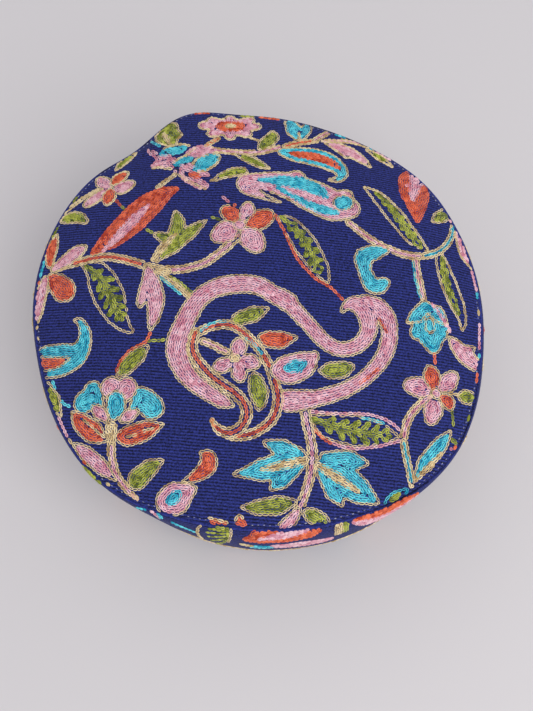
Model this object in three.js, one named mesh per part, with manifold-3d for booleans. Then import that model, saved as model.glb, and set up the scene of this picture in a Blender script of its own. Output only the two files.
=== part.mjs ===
// A soft round cap without a brim: a domed crown panel with one sewn tuck, joined along an
// edge seam to a bulging side band that stands on its open rim.
// Millimetres, +Z up, origin under the middle of the cap on the surface that it stands on.
import * as THREE from "three";
import { mergeVertices } from "three/addons/utils/BufferGeometryUtils.js";
import Module from "manifold-3d";

const wasm = await Module();
wasm.setup();

// Cloth
const WALL = 2; // embroidered cotton and the threads on its back
const SEAM_GAP = 0.3; // between the edges of the two panels at the seam
const CLOTH_COLOUR = "#262a64";
const CLOTH_ROUGHNESS = 0.9;

// Crown panel
const SEAM_RADIUS = 90.5;
const SEAM_HEIGHT = 61.5;
const DOME_RISE = 14;
const DOME_POWER = 3; // above 2 the dome is flatter in the middle than a bowl

// Side band, from the edge seam down to the open rim: drop is a share of the seam's height
const BAND_SECTIONS = [
  { name: "seam", drop: 0, radius: SEAM_RADIUS },
  { name: "shoulder", drop: 0.12, radius: 93.3 },
  { name: "bulge", drop: 0.4, radius: 95 },
  { name: "waist", drop: 0.75, radius: 93.7 },
  { name: "rim", drop: 1, radius: 92.5 },
];

// The plan is a little oval, as a head is
const OVAL_SHARE = 0.025;
const OVAL_AZIMUTH = 143;

// Where the soft wall stands out, sags or rises, at the edge seam and at the band's belly:
// azimuth and spread in degrees, the rest in mm
const DENTS = [
  { name: "right side, slack", azimuth: 352, spread: 16, edge: -1.2, belly: -1.2, up: 0 },
  { name: "back right, full", azimuth: 38, spread: 14, edge: 1.8, belly: 0.5, up: 0 },
  { name: "back, flat", azimuth: 70, spread: 16, edge: -0.6, belly: -0.4, up: -0.5 },
  { name: "puff beside the tuck", azimuth: 109, spread: 9, edge: 3.6, belly: 1, up: 2.5 },
  { name: "pinch at the tuck", azimuth: 128, spread: 8, edge: -2.2, belly: -0.6, up: -1.5 },
  { name: "left side, slack", azimuth: 191, spread: 9, edge: -0.2, belly: -1.8, up: 0 },
  { name: "front left, full", azimuth: 228, spread: 21, edge: 5.2, belly: -3.2, up: 0 },
  { name: "front, straight", azimuth: 270, spread: 13, edge: -0.8, belly: 0.5, up: 0 },
  { name: "front right, drawn over", azimuth: 318, spread: 18, edge: 4.4, belly: -2.6, up: -1 },
];
const DENT_FADE = 3; // how fast a dent dies away towards the middle of the crown

// The tuck: a flat fold, widest and highest at the edge seam, dying out at its tip
const TUCK_MOUTH = { radius: 87, azimuth: 124.5 };
const TUCK_TIP = { radius: 32, azimuth: 100 };
const TUCK_HALF_WIDTH = { mouth: 3.6, tip: 1.2 };
const TUCK_LIFT = { mouth: 1.8, tip: 0.5 };
const TUCK_SINK = 0.4; // how deep the fold's borders lie in the cloth
const TUCK_STEPS = { along: 8, across: 4 };

// Facets
const SIDES = 84;
const CROWN_RINGS = 12;
const BAND_ROWS = 10;

const radians = THREE.MathUtils.degToRad;
const between = THREE.MathUtils.lerp;

function domeHeight(radius) {
  return SEAM_HEIGHT + DOME_RISE * (1 - (radius / SEAM_RADIUS) ** DOME_POWER);
}

function crownLine() {
  const rings = Array.from({ length: CROWN_RINGS + 1 }, (_, ring) => ring / CROWN_RINGS);
  return rings.map((part) => {
    const radius = SEAM_RADIUS * part;
    return new THREE.Vector2(radius, domeHeight(radius));
  });
}

function bandLine() {
  const stations = BAND_SECTIONS.map(
    ({ drop, radius }) => new THREE.Vector2(radius, SEAM_HEIGHT * (1 - drop)),
  );
  return new THREE.SplineCurve(stations).getSpacedPoints(BAND_ROWS);
}

// Direction out of the cloth between two neighbouring points of a line that runs outwards and down
function outOfCloth(from, to) {
  const along = to.clone().sub(from).normalize();
  return new THREE.Vector2(-along.y, along.x);
}

// The inner line keeps the wall's thickness, also round the corner of the seam
function innerLine(line, firstOut, lastOut) {
  const last = line.length - 1;
  return line.map((point, index) => {
    const before = index > 0 ? outOfCloth(line[index - 1], point) : firstOut;
    const after = index < last ? outOfCloth(point, line[index + 1]) : lastOut;
    const corner = before.clone().add(after).normalize();
    const out = { 0: firstOut, [last]: lastOut }[index] ?? corner;
    return point.clone().addScaledVector(out, -WALL / out.dot(before));
  });
}

// Moves the edge of a panel back from the seam by half of the gap
function drawBack(edge, neighbour) {
  const inwards = neighbour.clone().sub(edge).normalize();
  edge.addScaledVector(inwards, SEAM_GAP / 2);
}

// Triangles with three different corners: those on the upright axis have closed up to a line
function openTriangles(corners) {
  const triangles = Array.from({ length: corners.length / 3 }, (_, i) =>
    Array.from(corners.slice(3 * i, 3 * i + 3)),
  );
  return triangles.filter((triangle) => new Set(triangle).size === triangle.length);
}

function asSolid(geometry) {
  geometry.deleteAttribute("normal");
  geometry.deleteAttribute("uv");
  const merged = mergeVertices(geometry);
  const vertProperties = new Float32Array(merged.attributes.position.array);
  const triVerts = new Uint32Array(openTriangles(merged.index.array).flat());
  return new wasm.Manifold(new wasm.Mesh({ numProp: 3, vertProperties, triVerts }));
}

function asGeometry(solid) {
  const { vertProperties, triVerts } = solid.getMesh();
  const geometry = new THREE.BufferGeometry();
  geometry.setAttribute("position", new THREE.BufferAttribute(vertProperties, 3));
  geometry.setIndex(new THREE.BufferAttribute(triVerts, 1));
  return geometry;
}

// A profile of radius and height, turned about the cap's upright axis
function turned(profile) {
  const geometry = new THREE.LatheGeometry(profile, SIDES);
  geometry.rotateX(Math.PI / 2);
  return geometry;
}

function around(radius, azimuth) {
  return new THREE.Vector2(radius, 0).rotateAround(new THREE.Vector2(), radians(azimuth));
}

// A thin box laid along the tuck's line and draped over the dome
function tuckFold() {
  const fold = new THREE.BoxGeometry(1, 2, 1, TUCK_STEPS.along, TUCK_STEPS.across, 1);
  const mouth = around(TUCK_MOUTH.radius, TUCK_MOUTH.azimuth);
  const tip = around(TUCK_TIP.radius, TUCK_TIP.azimuth);
  const sideways = outOfCloth(mouth, tip);
  const position = fold.attributes.position;
  for (let i = 0; i < position.count; i += 1) {
    const along = position.getX(i) + 0.5;
    const across = position.getY(i);
    const width = between(TUCK_HALF_WIDTH.mouth, TUCK_HALF_WIDTH.tip, along);
    const lift = between(TUCK_LIFT.mouth, TUCK_LIFT.tip, along) * (1 - across ** 2);
    const place = mouth.clone().lerp(tip, along).addScaledVector(sideways, across * width);
    const rise = position.getZ(i) > 0 ? lift - TUCK_SINK * across ** 2 : -WALL / 2;
    position.setXYZ(i, place.x, place.y, domeHeight(place.length()) + rise);
  }
  return fold;
}

function turnBetween(azimuth, other) {
  return THREE.MathUtils.euclideanModulo(azimuth - other + 180, 360) - 180;
}

// Gives the round form its oval plan and the dents of its soft edge
function settle(geometry) {
  const position = geometry.attributes.position;
  for (let i = 0; i < position.count; i += 1) {
    const flat = new THREE.Vector2(position.getX(i), position.getY(i));
    const height = position.getZ(i);
    const azimuth = THREE.MathUtils.radToDeg(flat.angle());
    const nearEdge = Math.min(1, flat.length() / SEAM_RADIUS) ** DENT_FADE;
    const nearSeam = Math.min(1, Math.max(0, height / SEAM_HEIGHT));
    const nearBelly = Math.sin(Math.PI * nearSeam);
    let out = 0;
    let up = 0;
    for (const { azimuth: place, spread, ...dent } of DENTS) {
      const reach = nearEdge * Math.exp(-((turnBetween(azimuth, place) / spread) ** 2));
      out += reach * (dent.edge * nearSeam ** 2 + dent.belly * nearBelly);
      up += reach * dent.up * nearSeam ** 2;
    }
    const oval = 1 + OVAL_SHARE * Math.cos(2 * radians(azimuth - OVAL_AZIMUTH));
    flat.setLength(flat.length() * oval + out);
    position.setXYZ(i, flat.x, flat.y, height + up);
  }
  geometry.computeVertexNormals();
  return geometry;
}

function clothPiece(name, geometry) {
  const cloth = new THREE.MeshStandardMaterial({
    color: CLOTH_COLOUR,
    roughness: CLOTH_ROUGHNESS,
    metalness: 0,
  });
  const piece = new THREE.Mesh(settle(geometry), cloth);
  piece.name = name;
  return piece;
}

// Both panels share one wall, cut at the seam along its corner
const upright = new THREE.Vector2(0, 1);
const level = new THREE.Vector2(1, 0);
const crownOuter = crownLine();
const bandOuter = bandLine();
const wallInner = innerLine([...crownOuter, ...bandOuter.slice(1)], upright, level);
const crownInner = wallInner.slice(0, CROWN_RINGS + 1).map((point) => point.clone());
const bandInner = wallInner.slice(CROWN_RINGS).map((point) => point.clone());
const crownWall = [crownOuter, crownInner];
const bandWall = [bandOuter, bandInner];
crownWall.forEach((line) => drawBack(line[CROWN_RINGS], line[CROWN_RINGS - 1]));
bandWall.forEach((line) => drawBack(line[0], line[1]));

const crownProfile = [...crownInner, ...crownOuter.toReversed()];
const bandProfile = [...bandInner, ...bandOuter.toReversed(), bandInner[0]];
const crown = asSolid(turned(crownProfile)).add(asSolid(tuckFold()));

const cap = new THREE.Group();
cap.add(clothPiece("crown_panel", asGeometry(crown)));
cap.add(clothPiece("side_band", asGeometry(asSolid(turned(bandProfile)))));

// The dents move the middle of the outline a little, so the cap is centred again
const middle = new THREE.Box3().setFromObject(cap).getCenter(new THREE.Vector3());
cap.position.set(-middle.x, -middle.y, 0);

export default cap;
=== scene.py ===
# %% [markdown]
# An embroidered cap
# This lesson dresses a CAD cap in cloth and thread: two panels of ribbed cotton and many
# thousands of chain stitches. The CAD model gives the size and the form; the sewing is made here.
# %% Libraries and the CAD frame
import math
from dataclasses import dataclass

import bmesh
import bpy
import numpy as np
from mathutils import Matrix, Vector, noise
from mathutils.bvhtree import BVHTree


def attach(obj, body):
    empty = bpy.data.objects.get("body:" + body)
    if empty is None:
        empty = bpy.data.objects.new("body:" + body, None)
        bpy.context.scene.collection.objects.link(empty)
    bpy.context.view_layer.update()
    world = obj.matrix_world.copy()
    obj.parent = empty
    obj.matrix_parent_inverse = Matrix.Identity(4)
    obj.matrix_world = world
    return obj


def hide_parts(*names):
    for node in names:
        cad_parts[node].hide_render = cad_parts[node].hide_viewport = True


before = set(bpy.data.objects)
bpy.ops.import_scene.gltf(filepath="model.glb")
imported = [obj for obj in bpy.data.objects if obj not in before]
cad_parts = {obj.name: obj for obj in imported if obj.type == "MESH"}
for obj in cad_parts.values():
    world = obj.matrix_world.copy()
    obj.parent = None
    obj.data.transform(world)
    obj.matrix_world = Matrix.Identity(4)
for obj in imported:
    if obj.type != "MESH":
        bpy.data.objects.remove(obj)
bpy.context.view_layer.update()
MM = 0.001
DOWN = Vector((0, 0, -1))
CLEAR = 0.2  # metres from the middle, well outside the cap, where rays start
SEED = 7
chance = np.random.default_rng(SEED)

# %% [markdown]
# The camera comes first, because the embroidery is charted on the photograph and every charted
# point is thrown from this camera onto the cloth. Its place, tilt and focal length were fitted to
# the cap's outline.
# %% Camera
PHOTO_WIDTH, PHOTO_HEIGHT = 533, 711
FOCAL_PIXELS = 790.8
CAMERA_PLACE, CAMERA_TILT = Vector((3.8, -116.98, 360.5)) * MM, math.radians(17.76)
SENSOR = 36
camera_data = bpy.data.cameras.new("camera")
camera_data.sensor_width = SENSOR
camera_data.lens = FOCAL_PIXELS * SENSOR / PHOTO_HEIGHT
camera_data.clip_start = 0.01
camera = bpy.data.objects.new("camera", camera_data)
camera.location = CAMERA_PLACE
camera.rotation_euler = (CAMERA_TILT, 0, 0)
bpy.context.scene.collection.objects.link(camera)
bpy.context.scene.camera = camera
bpy.context.view_layer.update()
CAMERA_TURN = camera.matrix_world.to_3x3()


def sight(x, y):
    """Direction from the camera through a pixel of the photograph."""
    right = (x - PHOTO_WIDTH / 2) / FOCAL_PIXELS
    up = (PHOTO_HEIGHT / 2 - y) / FOCAL_PIXELS
    return (CAMERA_TURN @ Vector((right, up, -1))).normalized()


print("lens in mm:", round(camera_data.lens, 2))

# %% [markdown]
# Helpers for the cloth. A tree of the CAD faces answers where a ray meets the part, and a cloth
# skin is finished by reading its subdivided shape back as a plain mesh.
# %% Helpers for meshes
def tree_of(mesh):
    """The faces of a mesh, ready for ray casts."""
    shape = bmesh.new()
    shape.from_mesh(mesh)
    tree = BVHTree.FromBMesh(shape)
    shape.free()
    return tree


def piece_from(name, shape):
    """A new object from a bmesh, smooth shaded."""
    mesh = bpy.data.meshes.new(name)
    bmesh.ops.recalc_face_normals(shape, faces=shape.faces)
    shape.to_mesh(mesh)
    shape.free()
    mesh.shade_smooth()
    piece = bpy.data.objects.new(name, mesh)
    bpy.context.scene.collection.objects.link(piece)
    return piece


def smoothed(piece, levels):
    """Subdivides a piece and keeps the finer mesh."""
    rounding = piece.modifiers.new("rounding", "SUBSURF")
    rounding.levels = rounding.render_levels = levels
    finer = piece.evaluated_get(bpy.context.evaluated_depsgraph_get())
    mesh = bpy.data.meshes.new_from_object(finer)
    piece.modifiers.clear()
    piece.data = mesh
    return piece


def places_of(mesh):
    """Vertex places of a mesh as an array."""
    places = np.empty(len(mesh.vertices) * 3)
    mesh.vertices.foreach_get("co", places)
    return places.reshape(-1, 3)


def turned_line(line, sides):
    """A line of places turned about the upright axis into a closed skin."""
    shape = bmesh.new()
    verts = [shape.verts.new(place) for place in line]
    edges = [shape.edges.new(pair) for pair in zip(verts, verts[1:])]
    bmesh.ops.spin(shape, geom=verts + edges, axis=(0, 0, 1), cent=(0, 0, 0),
                   angle=math.tau, steps=sides, use_merge=True)
    bmesh.ops.remove_doubles(shape, verts=shape.verts, dist=1e-7)
    return shape


crown_cad = tree_of(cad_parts["crown_panel"].data)
band_cad = tree_of(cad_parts["side_band"].data)
print("CAD nodes:", sorted(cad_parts))

# %% [markdown]
# The crown panel. A flat disc is spun from one line, and each vertex is then dropped on the CAD
# dome. The rays come from below, because the inside of the dome is clean of the tuck; only the edge
# itself is found from above. A last ring is extruded and rolled under, into the seam.
# %% Crown panel
CLOTH = 1.8 * MM
CAD_WALL = 2 * MM
SIDES = 96
RINGS = 16
SKIN_LEVELS = 2
ROLL_IN, ROLL_DOWN = 1.0 * MM, 1.3 * MM
EDGE_BETWEEN, HALVINGS = (0.07, 0.11), 18
DOME_SHARE = 0.96  # from here outwards the edge itself gives the height
HOLLOW_LEVEL = 0.02  # metres up in the hollow, where the rays from below start


def crown_edge(azimuth):
    """Radius and height of the crown's edge in one direction, found by halving."""
    inside, outside = EDGE_BETWEEN
    height = 0
    for _ in range(HALVINGS):
        middle = (inside + outside) / 2
        above = Vector((middle * math.cos(azimuth), middle * math.sin(azimuth), CLEAR))
        hit = crown_cad.ray_cast(above, DOWN)[0]
        inside, outside = (inside, middle) if hit is None else (middle, outside)
        height = height if hit is None else hit.z
    return inside, height


EDGE_STEPS = np.linspace(-math.pi, math.pi, 361)  # every degree
EDGES = np.array([crown_edge(azimuth) for azimuth in EDGE_STEPS])


def edge_at(azimuth):
    """Radius and height of the crown's edge, read from the table."""
    return [np.interp(azimuth, EDGE_STEPS, EDGES[:, column]) for column in (0, 1)]


def on_dome(share, azimuth):
    """A place on the CAD crown, at a share of the way to its edge."""
    edge_radius, edge_height = edge_at(azimuth)
    radius = share * edge_radius
    place = Vector((radius * math.cos(azimuth), radius * math.sin(azimuth), edge_height))
    if share < DOME_SHARE:
        below = Vector((place.x, place.y, HOLLOW_LEVEL))
        hit, out = crown_cad.ray_cast(below, -DOWN)[:2]
        place.z = hit.z + CAD_WALL / abs(out.z)
    return place


crown_shape = turned_line([Vector((ring / RINGS, 0, 0)) for ring in range(RINGS + 1)], SIDES)
for vert in crown_shape.verts:
    vert.co = on_dome(vert.co.length, math.atan2(vert.co.y, vert.co.x))
open_edges = [edge for edge in crown_shape.edges if edge.is_boundary]
rolled = bmesh.ops.extrude_edge_only(crown_shape, edges=open_edges)["geom"]
for vert in (part for part in rolled if isinstance(part, bmesh.types.BMVert)):
    outwards = Vector((vert.co.x, vert.co.y, 0)).normalized()
    vert.co -= outwards * ROLL_IN + Vector((0, 0, ROLL_DOWN))
crown = smoothed(piece_from("crown_cloth", crown_shape), SKIN_LEVELS)
print("crown skin:", len(crown.data.polygons), "faces")

# %% [markdown]
# The tuck is a flat fold from the back edge towards the middle. Its line is charted on the
# photograph. The cloth rises gently on one side and drops at the other, and the crown has the soft
# unevenness of cloth that a sewn pattern has drawn together.
# %% Tuck and soft wrinkles
TUCK_MOUTH_PIXEL, TUCK_TIP_PIXEL = (140, 144), (249, 219)
TUCK_WIDTH = (7.0 * MM, 2.6 * MM)
TUCK_RISE = (2.0 * MM, 0.5 * MM)
TUCK_SLOPE, TUCK_DROP = 1.6, 0.4  # breadths of its two sides, in half widths
TUCK_FADE = 1.08  # share of its length where it has died out
TUCK_WITHIN, TUCK_MARGIN = 0.0895, 0.005  # metres from the middle, where the edge holds it down
WRINKLE_RISE, WRINKLE_LENGTH = 0.35 * MM, 17 * MM
WRINKLE_WITHIN, WRINKLE_MARGIN = 0.087, 0.012
SEAM_LEVEL = 0.0615


def seen_on(tree, pixel, level):
    """Where the line of sight of a pixel meets the cloth, or a level plane beside it."""
    towards = sight(*pixel)
    hit = tree.ray_cast(camera.location, towards)[0]
    if hit is None:
        hit = camera.location + towards * ((level - camera.location.z) / towards.z)
    return hit


mouth = seen_on(crown_cad, TUCK_MOUTH_PIXEL, SEAM_LEVEL)
tip = seen_on(crown_cad, TUCK_TIP_PIXEL, SEAM_LEVEL)
tuck_line = Vector((tip.x - mouth.x, tip.y - mouth.y))
tuck_across = Vector((-tuck_line.y, tuck_line.x)).normalized()


def tuck_share(x, y):
    """How far along and across the tuck a place lies; across runs from -1 to 1 in the fold."""
    from_mouth = np.stack([np.asarray(x) - mouth.x, np.asarray(y) - mouth.y], -1)
    along = from_mouth @ np.array(tuck_line) / tuck_line.length_squared
    width = np.interp(along, (0, 1), TUCK_WIDTH)
    return along, from_mouth @ np.array(tuck_across) / width


def tuck_rise(x, y):
    """How high the tuck lifts the cloth at a place."""
    along, across = tuck_share(x, y)
    slope = np.clip((across + 1) / TUCK_SLOPE, 0, 1)
    drop = np.clip((1 - across) / TUCK_DROP, 0, 1)
    fold = np.minimum(slope * slope * (3 - 2 * slope), drop * drop * (3 - 2 * drop))
    return fold * np.interp(along, (0, 1, TUCK_FADE), (*TUCK_RISE, 0))


crown_places = places_of(crown.data)
reach = np.hypot(crown_places[:, 0], crown_places[:, 1])
calm = np.clip((WRINKLE_WITHIN - reach) / WRINKLE_MARGIN, 0, 1)
ripple = np.array([noise.noise(Vector(place) / WRINKLE_LENGTH) for place in crown_places])
calm_edge = np.clip((TUCK_WITHIN - reach) / TUCK_MARGIN, 0, 1)
crown_places[:, 2] += tuck_rise(crown_places[:, 0], crown_places[:, 1]) * calm_edge
crown_places[:, 2] += ripple * calm * WRINKLE_RISE
crown.data.vertices.foreach_set("co", crown_places.ravel())
crown.data.update()
print("tuck in mm:", round(tuck_line.length / MM, 1))

# %% [markdown]
# The side band is spun in the same way as a tube and pressed onto the CAD band by rays that come
# from outside. Its top row starts a little under the crown's rolled edge. Its rim is lifted by
# a hair, so that the thickness added later stays above the floor.
# %% Side band
BAND_DROPS = (0.012, 0.045, 0.1, 0.18, 0.28, 0.4, 0.55, 0.7, 0.85, 0.95, 1)
TOP_IN, TOP_DOWN = 1.4 * MM, 0.7 * MM
RIM_LIFT = 0.15 * MM
LOWEST_RAY = 0.0001  # metres; a ray in the floor's plane would miss the rim
UPPER_HALF = 0.03
RIM_CALM, SEAM_CALM, SEAM_MARGIN = 0.01, 0.058, 0.008  # heights between which the wall ripples


def on_band(azimuth, height):
    """Place and outward direction where the CAD band is met from outside at one height."""
    outside = Vector((math.cos(azimuth), math.sin(azimuth), 0))
    start = outside * CLEAR + Vector((0, 0, height))
    return band_cad.ray_cast(start, -outside)[:2]


band_shape = turned_line([Vector((1, 0, drop)) for drop in BAND_DROPS], SIDES)
for vert in band_shape.verts:
    azimuth, drop = math.atan2(vert.co.y, vert.co.x), vert.co.z
    height = float(edge_at(azimuth)[1]) * (1 - drop)
    vert.co = on_band(azimuth, max(height, LOWEST_RAY))[0]
    vert.co.z = height
top_edges = [edge for edge in band_shape.edges if edge.is_boundary and edge.verts[0].co.z > UPPER_HALF]
tucked = bmesh.ops.extrude_edge_only(band_shape, edges=top_edges)["geom"]
for vert in (part for part in tucked if isinstance(part, bmesh.types.BMVert)):
    outwards = Vector((vert.co.x, vert.co.y, 0)).normalized()
    vert.co -= outwards * TOP_IN + Vector((0, 0, TOP_DOWN))
band = smoothed(piece_from("band_cloth", band_shape), SKIN_LEVELS)
band_places = places_of(band.data)
ripple = np.array([noise.noise(Vector(place) / WRINKLE_LENGTH) for place in band_places])
outwards = band_places[:, :2] / np.linalg.norm(band_places[:, :2], axis=1)[:, None]
heights = band_places[:, 2]
calm = np.clip(heights / RIM_CALM, 0, 1) * np.clip((SEAM_CALM - heights) / SEAM_MARGIN, 0, 1)
band_places[:, :2] += outwards * (ripple * calm * WRINKLE_RISE)[:, None]
band_places[:, 2] = np.maximum(band_places[:, 2], RIM_LIFT)
band.data.vertices.foreach_set("co", band_places.ravel())
band.data.update()
print("band skin:", len(band.data.polygons), "faces")

# %% [markdown]
# The sewing needs to find the finished outer skins again, so their trees are kept before the cloth
# gets its thickness. The thickness itself is a Solidify modifier that grows inwards.
# %% Cloth thickness
crown_skin, band_skin = tree_of(crown.data), tree_of(band.data)
for cloth in (crown, band):
    thickness = cloth.modifiers.new("thickness", "SOLIDIFY")
    thickness.thickness = CLOTH
    thickness.offset = -1
    thickness.use_even_offset = True
print("cloth thickness in mm:", round(CLOTH / MM, 1))

# %% [markdown]
# Materials. The cotton has fine ribs that run across the photograph, a little off level, and a
# thread has a silky sheen. Each stitch carries its own tone, so that a filled petal looks hand made.
# %% Materials
def linear(red, green, blue):
    """A colour given as 0 to 255 screen values, in the units that a shader reads."""
    screen = [value / 255 for value in (red, green, blue)]
    return [s / 12.92 if s < 0.04045 else ((s + 0.055) / 1.055) ** 2.4 for s in screen] + [1]


def start_material(name, roughness, sheen):
    """A new material with its nodes, links and shader."""
    material = bpy.data.materials.new(name)
    material.use_nodes = True
    shader = material.node_tree.nodes["Principled BSDF"]
    shader.inputs["Roughness"].default_value = roughness
    shader.inputs["Sheen Weight"].default_value = sheen
    shader.inputs["Sheen Roughness"].default_value = 0.4
    shader.inputs["Specular IOR Level"].default_value = 0.25
    return material, material.node_tree.nodes, material.node_tree.links, shader


RIB, RIB_SHARE = 1.15 * MM, 0.3
WAVE = math.tau / 20  # length of one wave of the texture at scale 1
GRAIN_TILT = math.radians(5)  # the crown was cut a little off the grain
COTTON_TONES = (5, 8, 42), (51, 62, 146)


def cotton(name, across):
    """Ribbed navy cotton; across names the axis that the ribs follow one another along."""
    material, nodes, links, shader = start_material(name, roughness=0.85, sheen=0.04)
    place = nodes.new("ShaderNodeTexCoord")
    grain = nodes.new("ShaderNodeMapping")
    grain.inputs["Rotation"].default_value = (0, 0, GRAIN_TILT)
    ribs = nodes.new("ShaderNodeTexWave")
    ribs.bands_direction = across
    ribs.inputs["Scale"].default_value = WAVE / RIB
    ribs.inputs["Distortion"].default_value = 1.8
    ribs.inputs["Detail"].default_value = 2
    ribs.inputs["Detail Scale"].default_value = 0.6
    fibres = nodes.new("ShaderNodeTexNoise")
    fibres.inputs["Scale"].default_value = 1500
    fibres.inputs["Detail"].default_value = 3
    weave = nodes.new("ShaderNodeMath")
    weave.operation = "MULTIPLY_ADD"
    weave.inputs[1].default_value = RIB_SHARE
    shade = nodes.new("ShaderNodeValToRGB")
    shade.color_ramp.elements[0].position, shade.color_ramp.elements[1].position = 0.45, 0.95
    for stop, tone in zip(shade.color_ramp.elements, COTTON_TONES):
        stop.color = linear(*tone)
    relief = nodes.new("ShaderNodeBump")
    relief.inputs["Strength"].default_value = 0.5
    relief.inputs["Distance"].default_value = 0.25 * MM
    links.new(place.outputs["Object"], grain.inputs["Vector"])
    links.new(grain.outputs["Vector"], ribs.inputs["Vector"])
    links.new(grain.outputs["Vector"], fibres.inputs["Vector"])
    links.new(ribs.outputs["Fac"], weave.inputs[0])
    links.new(fibres.outputs["Fac"], weave.inputs[2])
    links.new(weave.outputs["Value"], shade.inputs["Fac"])
    links.new(weave.outputs["Value"], relief.inputs["Height"])
    links.new(shade.outputs["Color"], shader.inputs["Base Color"])
    links.new(relief.outputs["Normal"], shader.inputs["Normal"])
    return material


def thread(name, dark, light):
    """Silky thread between a dark and a light tone, by the tone of each stitch."""
    material, nodes, links, shader = start_material(name, roughness=0.55, sheen=0.25)
    tone = nodes.new("ShaderNodeAttribute")
    tone.attribute_name = "tone"
    shade = nodes.new("ShaderNodeValToRGB")
    shade.color_ramp.elements[0].color = linear(*dark)
    shade.color_ramp.elements[1].color = linear(*light)
    links.new(tone.outputs["Fac"], shade.inputs["Fac"])
    links.new(shade.outputs["Color"], shader.inputs["Base Color"])
    return material


THREADS = {  # darkest and lightest tone on the screen, slot of the record
    "pink": ((220, 138, 158), (255, 212, 220), "pink_thread"),
    "coral": ((192, 66, 32), (255, 132, 90), "coral_thread"),
    "turquoise": ((10, 162, 192), (112, 234, 244), "turquoise_thread"),
    "green": ((98, 110, 18), (200, 206, 86), "green_thread"),
    "beige": ((194, 162, 106), (252, 231, 182), "beige_thread"),
    "white": ((136, 140, 176), (204, 206, 224), "white_thread"),
    # navy is darker than the cloth: thin lines of painted shade in the tuck's creases and the big paisley's
    # slit
    "navy": ((12, 14, 40), (22, 26, 66), "navy_cotton"),
}
thread_materials = {name: thread(f"{name}_thread", dark, light) for name, (dark, light, _) in THREADS.items()}
crown.data.materials.append(cotton("crown_cotton", "Y"))
band.data.materials.append(cotton("band_cotton", "Z"))
print("materials:", len(bpy.data.materials))

# %% [markdown]
# One link of chain stitch, modelled once: two legs that leave one hole together, swing apart and
# close in the next hole. Each leg is a three sided strand, extruded ring by ring. Along, across and
# up are in shares of the stitch's length, half width and height. An open link shows the cloth in
# its eye and is for outlines, a full link has fatter strands and is for fillings and stems, and a
# sewing link is a plain seam's thin thread.
# %% One chain link
LEG_STATIONS = (  # along, across, half breadth of the strand, height of its top
    (-0.06, 0.16, 0.30, 0.35),
    (0.30, 0.62, 0.44, 1.00),
    (0.72, 0.66, 0.44, 1.00),
    (1.10, 0.12, 0.34, 0.55),
)
LINKS = (  # name, fatness of the strands, half width and height in mm, middle of the tone
    ("open", 0.95, 0.6, 0.42, 0.8),
    ("full", 1.32, 0.64, 0.42, 0.55),
    # the sewing link also draws the thin dark navy lines of painted shade
    ("sewing", 1.45, 0.17, 0.17, 0.15),
)
OPEN, FULL, SEWING = range(len(LINKS))
LINK_FOOT = -0.3  # how far a strand sinks into the cloth, in shares of its height


def model_link(fatness):
    """Places and faces of one link with strands of one fatness."""
    shape = bmesh.new()
    for side in (-1, 1):
        ring = None
        for along, across, breadth, top in LEG_STATIONS:
            if ring is None:
                ring = bmesh.ops.create_circle(shape, cap_ends=True, segments=3, radius=1)["verts"]
            else:
                edges = {edge for vert in ring for edge in vert.link_edges
                         if all(end in ring for end in edge.verts)}
                grown = bmesh.ops.extrude_edge_only(shape, edges=list(edges))["geom"]
                ring = [part for part in grown if isinstance(part, bmesh.types.BMVert)]
            corners = sorted(ring, key=lambda vert: vert.index)
            low, high = (side * across + sign * fatness * breadth for sign in (-1, 1))
            spots = ((low, LINK_FOOT), (side * across, top), (high, LINK_FOOT))
            for vert, (sideways, up) in zip(corners, spots):
                vert.co = (along, sideways, up)
            shape.verts.index_update()
        bmesh.ops.contextual_create(shape, geom=corners)
    bmesh.ops.recalc_face_normals(shape, faces=shape.faces)
    shape.verts.index_update()
    places = np.array([vert.co for vert in shape.verts])
    faces = [[vert.index for vert in face.verts] for face in shape.faces]
    shape.free()
    return places, faces


_, fatnesses, half_widths, link_heights, middle_tones = zip(*LINKS)
LINK_FORMS = np.stack([model_link(fatness)[0] for fatness in fatnesses])
LINK_FACES = model_link(1)[1]
HALF_WIDTHS, HEIGHTS = np.array(half_widths) * MM, np.array(link_heights) * MM
TONES = np.array(middle_tones)
LINK_SIZE = LINK_FORMS.shape[1]
print("one link:", LINK_SIZE, "places,", len(LINK_FACES), "faces")

# %% [markdown]
# Sewing starts with a motif: one or more strokes, each a smooth line of changing width. A depth
# field on a small grid says how far inside the strokes a place lies, and rows of stitches follow
# lines of equal depth, from the outline inwards, as an embroiderer fills a petal.
# %% Motifs and their depth
GRID, SAMPLE = 0.35, 0.4
ROW_START, ROW_STEP = 0.55, 0.88
STITCH, STITCH_SPREAD = 1.8, 0.2
SHORTEST_RUN = 0.9


@dataclass
class Motif:
    rows: tuple
    core: str
    strokes: list
    corner: np.ndarray
    depth: np.ndarray

    def inside(self, places):
        """Depth of places in this motif; below zero is outside."""
        cells = np.rint((places - self.corner) / GRID).astype(int)
        known = np.all((cells >= 0) & (cells < self.depth.shape), axis=1)
        found = np.full(len(places), -1.0)
        found[known] = self.depth[cells[known, 0], cells[known, 1]]
        return found


def smooth_stroke(points):
    """A curve through charted points (x, y, half width in mm), sampled closely."""
    points = np.asarray(points, float)
    ends = np.vstack([2 * points[0] - points[1], points, 2 * points[-1] - points[-2]])
    samples = []
    for before, here, there, after in zip(ends, ends[1:], ends[2:], ends[3:]):
        count = max(2, math.ceil(np.hypot(*(there - here)[:2]) / SAMPLE))
        t = np.arange(count)[:, None] / count
        bend = (2 * here + (there - before) * t + (2 * before - 5 * here + 4 * there - after) * t ** 2
                + (3 * here - before - 3 * there + after) * t ** 3) / 2
        bend[:, 2] = (here + (there - here) * t)[:, 2]
        samples.append(bend)
    return np.vstack([*samples, points[-1:]])


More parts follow.
